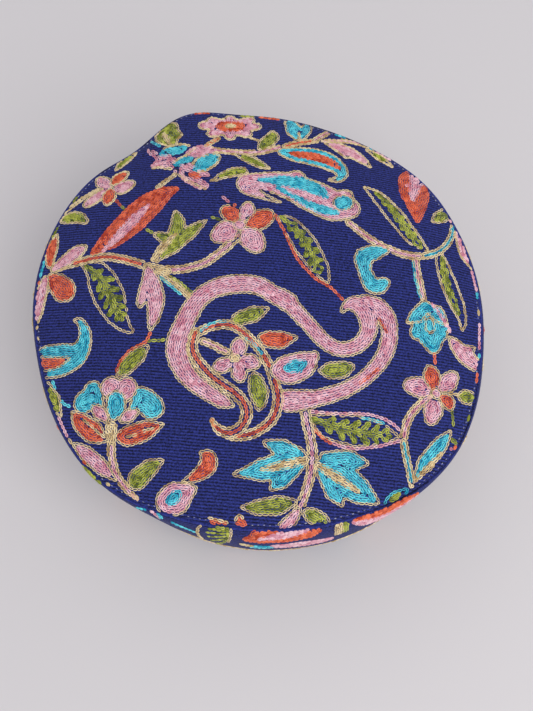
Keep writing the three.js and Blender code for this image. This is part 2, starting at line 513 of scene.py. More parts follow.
def motif_of(rows, core, strokes):
    """The depth field of strokes that are already in mm on a panel."""
    lines = [smooth_stroke(stroke) for stroke in strokes]
    every = np.vstack(lines)
    margin = every[:, 2].max() + 2 * GRID
    corner = every[:, :2].min(0) - margin
    size = np.ceil((every[:, :2].max(0) + margin - corner) / GRID).astype(int) + 1
    depth = np.full(size, -1.0)
    for x, y, width in every:
        low = np.maximum(((x, y) - corner - width - GRID) // GRID, 0).astype(int)
        high = np.minimum(((x, y) - corner + width + GRID) // GRID + 2, size).astype(int)
        across = corner[0] + GRID * np.arange(low[0], high[0])[:, None] - x
        along = corner[1] + GRID * np.arange(low[1], high[1])[None, :] - y
        window = depth[low[0]:high[0], low[1]:high[1]]
        np.maximum(window, width - np.hypot(across, along), out=window)
    return Motif(rows, core, lines, corner, depth)


def level_lines(motif, level):
    """Closed lines where the motif has one depth, by marching squares."""
    above = motif.depth - level
    inside = above > 0
    joins = {}
    for i, j in np.argwhere(inside[:-1, :-1] | inside[1:, :-1] | inside[:-1, 1:] | inside[1:, 1:]):
        corners = ((i, j), (i + 1, j), (i + 1, j + 1), (i, j + 1))
        crossed = [tuple(sorted((a, b))) for a, b in zip(corners, corners[1:] + corners[:1])
                   if inside[a] != inside[b]]
        for a, b in zip(crossed[::2], crossed[1::2]):
            joins.setdefault(a, []).append(b)
            joins.setdefault(b, []).append(a)
    lines = []
    while joins:
        place = next(iter(joins))
        line = [place]
        while joins.get(place):
            following = joins[place].pop()
            joins[following].remove(place)
            if not joins[place]:
                del joins[place]
            place = following
            line.append(place)
        joins.pop(place, None)
        ends = np.array(line, float)
        a = np.array([above[start] for start, _ in line])
        b = np.array([above[end] for _, end in line])
        share = (a / (a - b))[:, None]
        lines.append(motif.corner + GRID * (ends[:, 0] + (ends[:, 1] - ends[:, 0]) * share))
    return lines


def stitches_along(line):
    """Cuts a line into stitches of even length: rows of start and end."""
    steps = np.hypot(*np.diff(line, axis=0).T)
    run = np.concatenate([[0], np.cumsum(steps)])
    if run[-1] < SHORTEST_RUN:
        return np.empty((0, 4))
    count = max(1, round(run[-1] / STITCH))
    stops = np.linspace(0, run[-1], count + 1)
    stops[1:-1] += chance.uniform(-STITCH_SPREAD, STITCH_SPREAD, count - 1) * STITCH
    places = np.stack([np.interp(stops, run, line[:, axis]) for axis in (0, 1)], 1)
    if np.allclose(places[0], places[-1]) and count < 3:
        places = line[[0, len(line) // 2]]
    return np.hstack([places[:-1], places[1:]])


print("rows are", ROW_STEP, "mm apart, stitches", STITCH, "mm long")

# %% [markdown]
# A style says which thread each row takes from the outline inwards; an ellipsis repeats the last
# thread to the middle. The core is a thread that runs along the stroke itself, as in a stem.
# %% Styles of sewing
STYLES = {  # rows from the outline inwards, thread of the core
    "outline": (("beige",), None),
    "coral paisley": (("beige", "turquoise", "turquoise", "coral", ...), None),
    "turquoise rim": (("turquoise", "green", ...), None),
    "bare beige": (("beige", ...), None),
    "beige line": ((), "beige"),
    # a thin dark navy line of painted shade, for creases and slits
    "painted shade line": ((), "navy"),
}
for colour in ("pink", "coral", "turquoise", "green"):
    STYLES[colour] = (("beige", colour, ...), None)
    STYLES[f"bare {colour}"] = ((colour, ...), None)
    STYLES[f"{colour} stem"] = (("beige",), colour)
    STYLES[f"{colour} line"] = ((), colour)
print("styles:", len(STYLES))

# %% [markdown]
# The chart of the crown, read off the photograph. Each motif has a name, a style and its
# strokes; each point of a stroke is a photo x and y in pixels and a half width in mm. Motifs that
# come later lie over earlier ones.
# %% Chart of the crown
RIM_CHART = (  # ends of motifs that the edge seam cuts off
    ("pink ends", "pink line", [
        [(477, 270, .6), (481.5, 291, .6)], [(486, 324, .6), (486.5, 351, .6)],
        [(35, 349, .6), (40.5, 376, .6)], [(58, 417, .6), (66, 438, .6)],
        [(377, 150, .6), (392, 159, .6)], [(453.5, 218, .6), (459, 229, .6)]]),
    ("coral ends", "coral line", [
        [(131, 151, .6), (137, 147, .6)], [(193, 112, .6), (209, 112.5, .6)],
        [(259, 114.5, .6), (280, 116, .6)], [(481, 374, .6), (480, 384, .6)],
        [(36, 281, .6), (34.5, 291, .6)], [(83, 460, .6), (86, 464, .6)], [(455, 454, .6), (460, 448, .6)]]),
    ("turquoise ends", "turquoise line", [
        [(43.5, 256, .6), (37.5, 277, .6)], [(480, 292.5, .6), (482, 299, .6)],
        [(336, 131.5, .6), (347, 135, .6)], [(366, 144, .6), (374, 147.5, .6)],
        [(485, 355, .6), (484, 369, .6)]]),
    ("green ends", "green line", [
        [(240, 114.5, .6), (254, 114.5, .6)], [(57, 227, .6), (50, 238, .6)],
        [(75, 195.5, .6), (70, 201, .6)], [(474, 417, .6), (472, 423, .6)]]),
    ("beige ends", "beige line", [
        [(104, 486, .6), (111, 483.5, .6)], [(481.5, 310, .6), (483, 316, .6)],
        [(67, 440, .6), (73, 455, .6)]]),
)
CROWN_STEMS = (  # stems and links, which everything else covers
    ("top stem", "pink stem", [
        [(206, 147, 1.5), (214, 150, 1.6), (238, 152.5, 1.6), (261, 152, 1.6), (285, 146.5, 1.6)]]),
    ("top stem, right end", "coral stem", [[(285, 146.5, 1.6), (297, 143.5, 1.6), (316, 141, 1.6)]]),
    ("back branch", "pink stem", [[(314, 141, 1.5), (331, 130.5, 1.4)]]),
    ("right back rim stem", "pink stem", [
        [(322.5, 141.5, 1.2), (347, 141.7, 1.3), (367, 146, 1.3), (383, 153.5, 1.3), (393, 159.5, 1)]]),
    ("top flower stalk", "coral stem", [[(219, 138.5, 1.2), (206, 146, 1.2)]]),
    ("top flower thread", "beige line", [[(249, 137.5, .7), (259.5, 141, .7)]]),
    ("left long stem", "coral stem", [
        [(57, 269, 1.6), (80, 262, 1.8), (103, 257, 1.8), (123, 259, 1.8), (147, 266, 1.8),
         (154, 268.5, 2)]]),
    ("stem to the middle flower", "pink stem", [
        [(154, 268.5, 1.9), (175, 270, 1.8), (202, 264, 1.8), (223, 250, 1.8), (239, 234, 2)]]),
    ("joint of the left stems", "bare beige", [[(146, 265.5, 1.5), (154, 268.5, 2.3), (168, 271, 1.8)]]),
    ("link to the ribbon", "bare beige", [[(157, 271.5, 1.5), (174.5, 283.5, 1.5), (190, 297, 1.3)]]),
    ("left rim stem", "outline", [
        [(98, 190, 1.1), (91, 193.5, 1.1), (77, 203, 1.1), (60, 217, 1.1), (51, 236, 1)]]),
    ("right stem", "pink stem", [
        [(348, 222, 1.5), (370, 239, 1.6), (394, 251, 1.7), (412, 256, 1.7), (424, 256, 1.6)]]),
    ("right stem's end", "turquoise stem", [
        [(424, 256, 1.6), (438, 252, 1.6), (450, 240, 1.5), (454, 222, 1.3)]]),
    ("bud stem", "pink stem", [[(415.5, 259, 1.5), (418.5, 278, 1.5), (423.5, 299, 1.5)]]),
    ("lower main stem", "pink stem", [
        [(305, 412, 2.2), (309.5, 434, 2), (312.5, 455, 2), (310.5, 474, 1.9), (305, 494, 1.8),
         (297.5, 512, 1.9)]]),
    ("stem's foot", "pink", [[(298.5, 510, 1.7), (291, 520.5, 2.7), (283, 527.5, 2.4)]]),
    ("right flower stem", "pink stem", [
        [(432, 396, 1.5), (422.5, 402, 1.6), (410.5, 415, 1.7), (404.5, 431, 1.7), (403.5, 442, 1.6)]]),
    ("right flower stem's end", "turquoise stem", [
        [(403.5, 442, 1.6), (407, 460, 1.5), (411, 479, 1.4), (412, 486, 1.2)]]),
    ("lotus stem", "pink stem", [
        [(111, 440, 1.8), (112, 458, 1.7), (116, 474, 1.7), (127, 489, 1.5), (138, 500, .8)]]),
    ("turquoise threads", "turquoise line", [
        [(52, 381, .6), (60, 400, .6), (70, 407, .6)],
        [(149, 140.5, .6), (156, 144, .6), (163, 147.5, .6)],
        [(160, 277, .5), (171.5, 286.5, .5), (181, 294.5, .5)],
        [(413, 261, .5), (415.5, 279, .5), (420.5, 298, .5)]]),
    ("coral threads", "coral line", [
        [(329.5, 286, .6), (343, 300, .6)], [(434, 353, .7), (435.5, 364, .7)],
        [(151, 332, .7), (146.6, 340.5, .7)], [(115.5, 200, .7), (121, 206, .7)],
        [(233.5, 204, .6), (238.5, 209, .6)]]),
    ("green threads", "green line", [
        [(452, 410, .6), (453.5, 426, .6)], [(146.6, 341, .8), (155, 341, .8), (165, 339.5, .8)],
        [(121, 206, .7), (125.5, 210, .7)], [(146, 229, .5), (152.6, 233, .5)],
        [(169.5, 275.5, .5), (179.5, 282.5, .5), (192, 293, .5)], [(211, 217, .6), (220, 220, .6)]]),
    ("beige threads", "beige line", [
        [(38, 326, .7), (35.5, 333, .7), (39, 340, .7)], [(449, 393, 1), (459, 394.5, 1)]]),
    ("pink threads", "pink line", [[(221.5, 197, .7), (229, 202, .7)]]),
    ("stalk in the loop", "pink stem", [[(202.5, 341, 1.6), (215, 346, 1.6), (227, 352, 1.5)]]),
    ("tuck stem", "outline", [[(176, 174, 1.2), (157, 187.5, 1.2)]]),
)
CROWN_LEAVES = (
    ("leaf left of the paisley", "green", [
        [(207.5, 183, .4), (221, 176.5, 1.7), (233.5, 172.3, 2.6), (242, 171.3, 2.4), (248.5, 173, .6)]]),
    ("leaf under the top stem", "green", [
        [(231, 152, .4), (246, 158, 2.2), (260, 164.5, 2.2), (273, 170.5, .3)]]),
    ("leaf on the top stem", "green", [
        [(259.5, 149, 1.4), (266, 143.5, 3.4), (272.5, 137, 3.2), (271.5, 130.5, .4)]]),
    ("left back rim leaf", "green", [
        [(115, 171.5, .5), (121, 165, 2.2), (129, 158.5, 2.2), (138.5, 150.5, .4)]]),
    ("left crescent", "green", [
        [(59.5, 222.5, .5), (67, 219, 2.8), (76, 217.5, 3.2), (83, 219.5, 2.2), (88.5, 225.5, .3)]]),
    ("lobed leaf by the tuck", "green", [
        [(170, 144, 2.4), (167, 137, 5.5), (170, 129, 4.2), (173, 124, .8)],
        [(170, 138, 4), (178.5, 135, 2.2)], [(165, 139, 3.6), (155, 136.5, .8)],
        [(171, 142, 3), (177, 143, .8)]]),
    ("its vein", "bare beige", [[(163.5, 133.5, 1), (167, 139, 1.5), (170.5, 145, 1)]]),
    ("leaf by the coral drop", "green", [
        [(430.5, 222.5, .4), (440, 217.5, 3.2), (447, 213, 2.8), (449, 209.5, .8)]]),
    ("right back rim leaf", "green", [[(362, 147.5, .4), (379, 157.5, 2.4), (396, 169.5, .4)]]),
    ("split leaf", "green", [
        [(155, 262, .8), (172, 247, 3.4), (190, 232, 3.2), (210.5, 217.5, .3)],
        [(174, 238, 3.4), (178, 225, 3.4), (176.5, 215, 2), (176, 209.5, .6)],
        [(170, 240, 3), (160, 236, 2.2), (152.5, 233.5, .5)]]),
    ("split leaf vein", "bare beige", [[(153, 260, 1.2), (163.5, 247, 2), (177, 233, .7)]]),
    ("leaf by the tulip", "green", [[(117, 377, .5), (126, 367, 3.6), (138, 355, 3.4), (151, 343, .3)]]),
    ("its coral edge", "coral line", [
        [(116, 372, .6), (120, 362, .6), (130, 350.5, .6), (147, 341.5, .6)]]),
    ("lotus leaf", "green", [[(130, 488, .8), (138, 479, 4.2), (150, 468, 3.4), (166.5, 458.5, .3)]]),
    ("front left leaf", "green", [[(240, 507, .7), (258, 507.5, 3), (279, 505, 3.7), (299, 501, .5)]]),
    ("front right leaf", "green", [
        [(303.5, 510.5, .8), (312, 515.5, 3.2), (322, 520.5, 2.8), (332.5, 525, .3)]]),
    ("right rim leaf", "green", [[(459, 395.5, 1.4), (466, 397, 3.3), (473, 397.5, 2)]]),
    ("left rim leaf", "green", [[(47, 383, .9), (53, 399, 3.3), (61, 416, 1)]]),
    ("right rim bit", "bare green", [[(452, 439, 1), (456, 443.5, 1)]]),
)
CROWN_BACK = (  # flowers of the back
    ("top flower", "pink", [
        [(231, 127, 4), (203.5, 125.5, 2.8)], [(231, 127, 4), (212.5, 133.5, 2.8)],
        [(231, 127, 4), (230, 136, 2.8)], [(231, 127, 4), (247, 134, 2.8)],
        [(231, 127, 4), (255.5, 127, 2.8)], [(231, 127, 4), (250, 120.5, 2.6)],
        [(231, 127, 4), (230, 119, 2.6)], [(231, 127, 4), (211.5, 121, 2.6)]]),
    ("top flower ring", "bare coral", [[(223.5, 126.5, 3.3), (238, 126.5, 3.3)]]),
    ("top flower eye", "bare beige", [[(228, 126.5, 1.7), (233.5, 126.5, 1.7)]]),
    ("blossom on the tuck, pink", "bare pink", [
        [(189, 153.5, 1.8), (200, 151, 3.4), (211, 150.5, 1.8)],
        [(147.5, 150, .8), (157.5, 156, 1.4), (168, 163, 2.1), (180, 169.5, 1.8)],
        [(152, 167, .8), (159, 163.5, 2.5), (169, 161, 2.6)],
        [(166.5, 158, 1.8), (176.5, 163, 2.6), (186.5, 167.5, 2.6), (193, 170, 2)],
        [(179, 171.5, 1.6), (188, 178, 2.1), (199, 184, 2.2), (206, 186.5, 1.6)],
        [(193, 172, 1.7), (206, 174.5, 1.8)]]),
    ("blossom on the tuck, turquoise", "bare turquoise", [
        [(161, 154, 1.2), (173, 151, 2.7), (186.5, 147.4, 1)],
        [(175, 164, 1.2), (183.5, 160.7, 2.4), (192, 157.8, 1)],
        [(195.5, 169.5, 1.4), (205, 163.5, 3.8), (213, 159.5, 3.3), (218, 156.5, 1.2)]]),
    ("blossom on the tuck, coral", "bare coral", [
        [(188.5, 173.5, .7), (195.5, 175.3, 1.6), (201, 177, .7)]]),
    ("blossom on the tuck, edges", "beige line", [
        [(163, 150, .6), (172, 146, .6), (183, 144, .6), (190, 146, .6)],
        [(212, 153.5, .6), (220, 155.5, .6), (217, 163, .6), (207, 170, .6), (197, 172.5, .6)],
        [(151.5, 168.5, .6), (160, 167.5, .6), (172, 169, .6)],
        [(178, 174, .6), (190, 182, .6), (206, 189.5, .6)],
        [(170, 166, .6), (181, 157.5, .6), (196, 147.5, .6)],
        [(190, 166.5, .6), (197, 159, .6), (209, 154, .6)]]),
    ("small flower, pink", "pink", [
        [(110, 187, 2), (104, 183.5, 3.6), (100, 180, 2.4)],
        [(113, 187, 2), (122, 187.5, 4.1), (130, 184.5, 2.8)],
        [(107, 190, 1.8), (97, 197.5, 3.1), (89, 203, 2.7), (83.5, 206, .8)]]),
    ("small flower, coral", "coral", [
        [(113, 184, 1.8), (119, 178.5, 3.3), (125.5, 174, 2)],
        [(111, 190, 1.8), (109, 197, 3.6), (107.5, 202.5, 2.2)]]),
    ("left rim flower, pink", "pink", [
        [(54, 269.5, 2), (66, 261, 3.3), (77, 252.5, 3.5), (89.5, 245, .5)],
        [(46, 279, 2), (41, 295, 3.2), (37.5, 312, 3), (35, 328, 1)]]),
    ("left rim flower, coral", "coral", [
        [(50, 265, 2), (51.8, 249, 3.3), (58, 233, .7)],
        [(51, 276, 1.8), (58, 284, 4.6), (64, 290, 5.2), (68, 295, 3.2)]]),
    ("coral bud", "bare coral", [
        [(90.6, 255, .6), (112, 238, 4.9), (132, 220.5, 6.4), (150, 204, 5.8), (165, 193.5, 3.4),
         (179.5, 188, .5)]]),
    ("coral bud core", "bare pink", [
        [(101, 253.5, .6), (118, 236, 2.2), (135, 219, 2.6), (151, 203, .6)]]),
    ("coral drop", "bare coral", [
        [(410, 171, 1), (412.5, 183, 6.4), (414.5, 194, 6.6), (416.5, 208, 4), (417.5, 223.5, .4)]]),
    ("coral drop core", "bare pink", [
        [(411, 174.5, 1), (415, 183, 2.7), (413.5, 193, 2.2), (412, 201, .8)],
        [(405, 186, .8), (424, 183.5, .8)]]),
    ("tulip", "pink", [
        [(148, 268.5, 1.8), (151, 282, 4), (155.5, 300, 3.9), (153.5, 317, 2.8), (149.5, 332, .7)],
        [(146, 286, 2.8), (142, 300, 2.4), (138, 309.5, .4)]]),
    ("top plume", "pink", [
        [(324, 142.5, .8), (338, 147.5, 3), (349, 152, 3.2), (361, 159.5, 2.6), (373, 169, .5)],
        [(342, 150, 3), (348, 159, .8)]]),
    ("right plume", "pink", [[(454.5, 219, .8), (461, 236, 3.3), (467.5, 254, 4.5), (474, 268, 1.8)]]),
    ("lower right plume", "pink", [
        [(448.5, 336.5, .8), (456, 346, 3), (464, 355, 4), (474, 363.5, 3.4), (484, 367.5, 1.2)],
        [(466, 352, 3), (475.5, 347, .6)]]),
    ("leaf by the lotus", "pink", [
        [(72, 442.5, .7), (86, 453.5, 3.1), (101, 466.5, 3.2), (117, 481, .7)]]),
    ("right rim bit, pink", "bare pink", [[(450.5, 448.5, 1), (455.5, 453.5, 1)]]),
    ("big paisley", "pink", [
        [(246.5, 183, 4.6), (262, 181.5, 4.6), (288, 185.5, 6.6), (314, 196.5, 8), (332, 205, 7.8),
         (348, 208, 5.4)], [(294, 177.5, 3.4), (298, 176.5, 3.2)], [(342, 197, 3.6), (346, 196, 3.4)],
        [(247, 188, 3.6), (262, 195.8, 1.7), (283, 203, .7)]]),
    ("big paisley, turquoise", "bare turquoise", [
        [(260.5, 179.5, 1.4), (283, 181.3, 2.7), (300, 183.5, 3.5), (317.5, 190, 2.9), (327, 197, 1.2)],
        [(277, 187, 1.2), (288, 193.5, 1.2), (305.5, 203, 1.7), (322.5, 210, 2.3), (336.5, 213, 1.5)]]),
    ("big paisley's eye", "turquoise", [[(341.5, 203.5, 4), (345, 202.5, 4)]]),
    # painted shade: the slit's bare cloth gets a thin dark navy line along its middle
    ("big paisley's slit", "painted shade line", [[(259, 188.5, .9), (268, 192.5, 1), (279, 198.5, .8)]]),
    ("top paisley", "coral paisley", [
        [(281.5, 152, 2.2), (296, 154.5, 4.4), (314, 157, 5.2), (330, 162.5, 4.9), (341, 171, 3.1),
         (339.5, 179, 2), (325.5, 180.5, .6)]]),
    ("top tulip", "turquoise", [
        [(299.5, 140, 1.6), (294.5, 131, 4.2), (290, 122.5, 2.4)],
        [(301, 137, 2.6), (306, 130, 2.8), (307.5, 123.5, 1.4)], [(293, 129, 2.6), (283.5, 121.5, .6)]]),
    ("top tulip vein", "bare beige", [[(299.5, 141, 1), (298.5, 131.5, .7)]]),
    ("middle flower, coral", "coral", [
        [(237, 219, 2.2), (231, 213.5, 4.1), (226, 211, 3)],
        [(247, 223, 2.2), (258, 220, 4.9), (266, 217, 4)]]),
    ("middle flower, pink", "pink", [
        [(243, 219, 2), (247, 211, 3.6), (248, 206, 2.6)],
        [(245, 231, 2.2), (251.5, 238.5, 5.3), (256.5, 245.5, 3.8)],
        [(234, 228.5, 2.2), (226, 231.5, 5.3), (219, 235.5, 3.8)]]),
    ("middle flower eye", "pink", [[(238.5, 225, 2.8), (241, 225, 2.8)]]),
    ("turquoise comma", "turquoise", [
        [(387, 250.5, 1.6), (374, 252.5, 3.7), (363.5, 257.5, 4), (365, 271, 3), (371, 284, 3.6),
         (379, 286.5, 3.5), (384.5, 282.5, 2.6)]]),
    ("turquoise bud", "turquoise", [
        [(425, 301, 1), (426, 314, 5.2), (428, 326, 7), (430, 334, 6), (432.5, 345, 3.8), (434, 353.5, .9)],
        [(420, 317, 4.4), (406, 322.4, .5)], [(436, 315, 4.4), (447, 331, 1.5)],
        [(420, 331, 4), (416.5, 333.5, 3.1)], [(438, 332, 3.6), (441.5, 334.5, 2.9)]]),
    ("turquoise bud line", "beige line", [
        [(406, 322.4, .6), (420.8, 321.5, .6), (427.7, 312.9, .6), (434.6, 320.7, .6), (446, 325, .6)]]),
    ("turquoise bud eye", "turquoise", [[(429, 322, 2.3), (430, 329, 2.3)]]),
    ("bud edge", "bare pink", [[(431, 303, .8), (441, 316, 1), (450.5, 333, .8)]]),
    ("right flower, pink", "pink", [
        [(431, 391, 2.1), (420, 387.5, 4.5), (410, 385.5, 3.2)],
        [(441, 389, 2), (448, 382.5, 4), (453, 377, 2.8)],
        [(435, 399, 2.1), (433, 410, 4.3), (431, 418.5, 3)]]),
    ("right flower, coral", "coral", [
        [(434.5, 388, 2), (432, 377, 4), (430.5, 371, 2.8)],
        [(441, 396.5, 1.8), (447.5, 401.5, 3.3), (450, 407, 2)]]),
    ("right flower eye", "pink", [[(435.5, 393, 2.5), (437, 394, 2.5)]]),
    ("long turquoise leaf", "turquoise", [
        [(412.5, 484, .6), (425, 464, 3.4), (440, 445, 3.2), (453.5, 427.5, .4)]]),
    ("long leaf vein", "bare beige", [[(414.5, 482, .7), (426, 469, 1.3), (442, 453.5, .9)]]),
    ("front rim leaf", "turquoise rim", [[(382, 504.5, .5), (395, 497, 2.3), (411.5, 487.5, .5)]]),
)
CROWN_MIDDLE = (  # the hooked ribbon and what it holds
    ("ribbon", "pink", [
        [(233.5, 406, 1), (221.5, 400.5, 3), (204, 389.5, 3.5), (188, 376, 4), (178.5, 358.5, 4.4),
         (177, 343, 4.5), (185, 322, 4.2), (197.5, 300.5, 4), (214.5, 288.5, 4), (235, 284, 4.2),
         (256, 285, 4), (271.5, 293, 3.8), (288, 303, 3.5), (309, 325, 3.2), (323, 340, 3.2),
         (336.5, 348.5, 3.1), (350, 348.5, 3.1), (362, 342, 3.3), (369, 329, 3.6), (367, 315, 4.2),
         (359, 305, 4), (349, 304.5, 2.6), (339, 314, .4)],
        [(366, 301, 3), (378, 307, 4), (386.5, 318, 4), (389.5, 334, 3.5), (386, 351, 3.4),
         (376, 367, 3.2), (360.5, 381, 3.1), (341.5, 391, 3.1), (317.5, 398, 3.5), (297, 400.5, 4.4),
         (287, 401, 4.6)], [(278, 296.5, 4.1), (288, 301.5, 4.1)]]),
    ("ribbon streaks", "coral line", [
        [(378, 317, .6), (387, 333, .6)], [(359, 384, .6), (379, 368.5, .6)]]),
    ("leaf over the loop", "green", [
        [(230, 322.5, .4), (240, 318.5, 3.2), (254, 314, 3.5), (271.5, 307, .3)]]),
    ("loop, right side", "coral stem", [
        [(197, 333, 1.8), (213, 326, 1.8), (228.5, 324.5, 1.9), (242, 331.5, 1.9), (256, 345, 1.9),
         (266.5, 360.5, 1.9), (273.5, 377.5, 2), (278, 396, 2.1), (276.5, 410, 2.1), (268, 424, 2),
         (251, 434, 2), (232, 436.5, 1.8)]]),
    ("loop, left side", "coral stem", [
        [(196, 331, 1.8), (192, 346.5, 2.1), (197.5, 360, 2.2), (209.5, 374, 2.2), (225, 386, 2.2),
         (239, 396.5, 2.2), (247, 410, 2.2), (243.5, 424, 2.2), (231.5, 433, 2.2), (218, 429, 1.8),
         (211, 419, .8)]]),
    ("loop edges", "turquoise line", [
        [(200, 331, .6), (213, 323, .6), (227, 322, .6)],
        [(245, 337, .6), (254, 344.5, .6), (262, 354.5, .6)]]),
    ("loop flower", "pink", [
        [(237, 357, 2), (239, 347.5, 3.7), (239.5, 343, 2.8)],
        [(239, 360, 2), (249, 362, 3.7), (255, 363.5, 2.6)],
        [(237, 362, 2), (239, 373, 3.4), (240, 377.5, 2.4)],
        [(233, 361, 2), (222.5, 365.5, 3.4), (217.5, 367.5, 2.4)]]),
    ("loop flower eye", "bare beige", [[(233.5, 358, 2), (236, 358, 2)]]),
    ("leaf in the loop", "green", [[
        (255, 372, .8), (256, 381, 3.2), (258.5, 392, 4), (260, 404, 2.3), (257, 414, .3)]]),
    ("coral leaf", "coral", [[(257, 336, .6), (268, 339, 3.6), (280, 340, 3.9), (300.5, 336.5, .3)]]),
    ("pink bud", "pink", [
        [(278, 370, 3.4), (288, 369.5, 6), (301, 365.5, 5.6), (312, 358, 2.8), (318.5, 351.5, .5)]]),
    ("pink bud core", "bare turquoise", [[(287, 368.5, 1.6), (296, 366.5, 2.9), (304.5, 363.5, 1.4)]]),
    ("leaf by the bud", "green", [
        [(317.5, 371, .5), (330, 370.5, 3.5), (343, 369.5, 3.5), (355.5, 364.5, .5)]]),
)
CROWN_FRONT = (
    ("curl paisley", "turquoise", [
        [(71, 319.5, .5), (79, 321, 1.6), (84, 329, 2.5), (84.5, 341, 3.1), (77, 355, 4.8),
         (62, 360, 6.9), (48, 361.5, 7), (42, 360, 5)]]),
    ("curl paisley core", "coral", [[(41, 360, 1.4), (44, 363.5, 3.2), (56, 363, 2.8), (73, 356.5, .5)]]),
    ("lotus wings", "turquoise", [
        [(99, 407, 2.4), (92, 399, 4.8), (84, 402.5, 4.6), (80, 404.5, 2.6)],
        [(92.5, 390.5, 3.8), (94, 387.5, 3)],
        [(135, 408, 2.8), (144.5, 400.5, 4.7), (152.5, 407.5, 4.9), (161, 411.5, 1.4)],
        [(140.5, 395.5, 3.6), (147.5, 399, 4)]]),
    ("lotus heart", "pink", [[(111.5, 388, 4.7), (118, 399, 3)], [(126.5, 388.5, 4.7), (119, 399, 3)]]),
    ("lotus middle", "turquoise", [[(116, 400, 4), (116, 407, 4.2), (113.5, 417, 2)]]),
    ("lotus small petals", "pink", [
        [(94, 407, 1.6), (100, 413, 3), (107, 420, 1.4)],
        [(121, 420, 1.4), (129, 415.5, 3), (137, 411, 1.4)]]),
    ("lotus sepals", "coral", [
        [(71, 410, .5), (81, 422, 3.8), (93, 432, 4.5), (108, 441, .8)],
        [(115, 436, .8), (128, 436, 4.1), (145, 430.5, 4.1), (166.5, 423, .3)]]),
    ("sepal veins", "beige line", [
        [(83, 419, 1), (94, 428.5, 1), (104.5, 437.5, 1)], [(126, 437, 1), (137, 434, 1)],
        [(142, 432, 1), (154, 428, 1)]]),
    ("lotus eye", "bare beige", [[(110, 427, 2.2), (112, 427, 2.2)], [(112, 430, 2), (112, 441, 1.6)]]),
    ("coral curl", "coral", [
        [(199, 451.5, .6), (208.5, 458, 3.2), (207, 467, 3.6), (196, 476, 2.5), (180, 483, .5)]]),
    ("low bud", "pink", [[(197.5, 487.5, .4), (187, 491.5, 3.4), (175, 498.5, 6.2), (168, 501.5, 5)]]),
    ("low bud core", "bare turquoise", [[(169.5, 501.5, 1.6), (174.5, 497.5, 2.5), (181, 490.5, .8)]]),
    ("left split leaf", "turquoise", [
        [(308, 459, 1.6), (286, 465, 5.6), (262, 470, 4.4), (229, 475, .3)],
        [(300, 455, 2.6), (282, 449, 3.8), (263, 441.5, 1)],
        [(294, 467, 3.6), (281, 479, 3.8), (269.5, 491, .6)]]),
    ("left split vein", "bare beige", [[(307, 460, 1.4), (284, 465, 1.9), (260.5, 469.5, .8)]]),
    ("right split leaf", "turquoise", [
        [(316, 463, 1.6), (338, 476, 6.4), (358, 490, 5.2), (381.5, 505, .3)],
        [(326, 459, 3), (348, 461, 4.4), (367, 463, 1.2)],
        [(324, 472, 3.2), (334, 491, 3.8), (343.5, 507.5, .5)]]),
    ("right split vein", "bare beige", [[(317.5, 465, 1.4), (338, 478, 1.9), (360, 492.5, .8)]]),
    ("front curls", "bare coral", [
        [(210, 520, .8), (218, 522.5, 1.4), (227, 525, .8)],
        [(239, 516, .8), (238, 521, 1.7), (247, 525, .8)]]),
    ("front curl edges", "beige line", [
        [(208, 517.5, .6), (217, 519.5, .6), (228, 523, .6)],
        [(235, 521, .6), (239, 514.5, .6), (243, 519, .6)]]),
)
TUCK_CREASE_SHADE = (  # painted shade in the creases along the two sides of the tuck: thin dark navy lines, over everything
    ("upper crease", "painted shade line", [
        [(157, 142.5, .5), (165.7, 152, .5), (176.5, 158.5, .5), (191.5, 169, .5)]]),
    ("lower crease", "painted shade line", [
        [(146.5, 149, .5), (157, 156, .5), (166.5, 163, .5), (179, 170, .5), (199, 185, .5)]]),
    ("end of the crease", "painted shade line", [[(224, 201, .5), (236, 207.5, .5), (250.5, 220, .5)]]),
)
CROWN_CHART = CROWN_STEMS + CROWN_LEAVES + CROWN_BACK + CROWN_MIDDLE + CROWN_FRONT + TUCK_CREASE_SHADE
FERNS = (  # a leaf that is only outlined, and the spine of the lobed filling in it
    ([(81, 263, .6), (96.8, 271.6, 4.7), (102.4, 282.2, 6.1), (109.2, 296.6, 6.5), (115.1, 310.8, 5.1),
      (122.8, 324, 2.9), (134, 333, .6)],
     [(85, 266, 1), (101, 278.5, 1.2), (109.5, 295, 1.2), (117, 311, 1.2), (123, 320, 1)]),
    ([(276, 214, .5), (291, 226, 4), (306, 246, 5.2), (320, 268, 3.8), (329.5, 286, .3)],
     [(280, 216, .9), (298, 232, 1.2), (310, 250, 1.2), (320, 274, 1)]),
    ([(362.5, 186, .6), (379, 198, 3.3), (396, 217, 4.3), (413, 238, 3.6), (430, 253, .6)],
     [(375, 192, .9), (392, 209, 1.3), (402.5, 223.5, 1.3), (421, 248, 1)]),
    ([(440, 253, .8), (441.5, 262, 2.9), (448, 282, 3.9), (457, 305, 3.6), (462.5, 321, 1.9), (462, 333, .6)],
     [(442, 257, 1), (447, 284, 1.3), (459, 316, .9)]),
    ([(309, 416, .6), (329, 426, 5.1), (356, 431, 6.2), (380, 434, 4.4), (401.5, 438, .3)],
     [(312, 419, 1.2), (352, 431, 1.3), (392, 436, .9)]),
)
FERN_EDGES = (
    ("coral edges", "coral line", [
        [(274.5, 214, .6), (285, 233, .6), (297, 258, .6), (315, 278, .6), (329, 286, .6)],
        [(311, 425, .6), (321, 436.5, .6), (332, 443, .6)]]),
    ("pink edges", "pink line", [
        [(310, 411.5, .6), (336, 413.5, .6), (366, 414, .6), (389, 421, .6), (402.5, 433.5, .6)],
        [(332, 443, .6), (346, 447.5, .6), (362, 448.5, .6), (384, 445, .6), (401, 441, .6)]]),
    ("turquoise edge", "turquoise line", [[(361, 418.5, .5), (372, 419.5, .5), (384, 424, .5)]]),
)
print("motifs charted on the crown:", len(RIM_CHART + CROWN_CHART + FERN_EDGES + FERNS))

